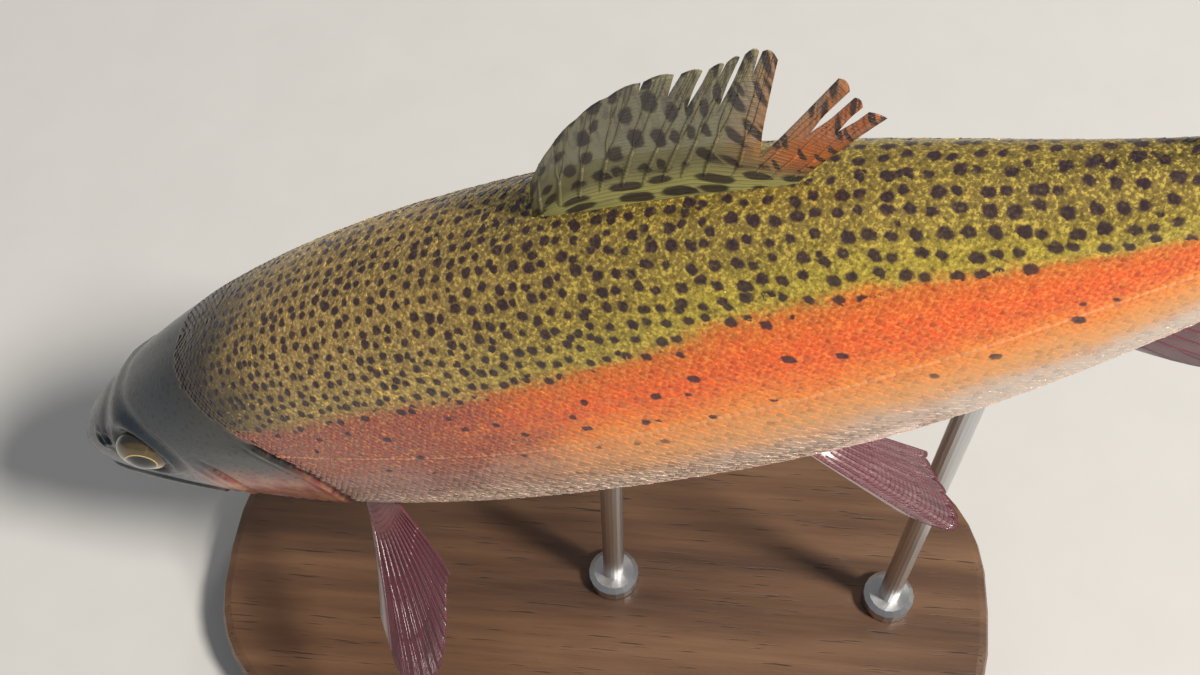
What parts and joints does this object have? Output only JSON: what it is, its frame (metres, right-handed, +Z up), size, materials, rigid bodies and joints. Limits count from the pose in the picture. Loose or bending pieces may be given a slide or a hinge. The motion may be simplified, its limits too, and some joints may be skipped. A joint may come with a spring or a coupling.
{
  "type": "rainbow trout model",
  "caption": "Still life-size trout, head tilted down and fins spread, held on slim rods over a flat oval base.",
  "frame": {"origin": "centre of the underside of the stand's base", "axes": "+Z up, -X towards the fish's head, -Y towards the fish's left side"},
  "size_m": [0.2382, 0.08, 0.1918],
  "materials": {
    "spotted_skin": "glossy scaled fish skin, olive gold with dark spots and an orange-red side stripe",
    "head_skin": "glossy bare fish skin, dark olive with small black spots",
    "gill_cover_skin": "glossy bare fish skin, pink-red with a silvery sheen",
    "eye": "clear glossy eye with a gold iris and a black pupil",
    "olive_fin": "thin translucent rayed fin, olive with dark spots",
    "low_fin": "thin translucent rayed fin, maroon with a pale front edge",
    "stand_wood": "satin oiled walnut",
    "stand_steel": "satin brushed steel"
  },
  "bodies": {
    "root": {"head": "head_skin", "jaw_lower": "head_skin", "maxilla_left": "head_skin", "maxilla_right": "head_skin", "gill_cover_left": "gill_cover_skin", "gill_cover_right": "gill_cover_skin", "eye_left": "eye", "eye_right": "eye", "trunk_front": "spotted_skin", "trunk_rear": "spotted_skin", "tail_stalk": "spotted_skin", "dorsal_fin": "olive_fin", "adipose_fin": "olive_fin", "caudal_fin": "olive_fin", "anal_fin": "low_fin", "pectoral_fin_left": "low_fin", "pectoral_fin_right": "low_fin", "pelvic_fin_left": "low_fin", "pelvic_fin_right": "low_fin", "stand_base": "stand_wood", "stand_rod_front": "stand_steel", "stand_rod_rear": "stand_steel"}
  },
  "joints": []
}
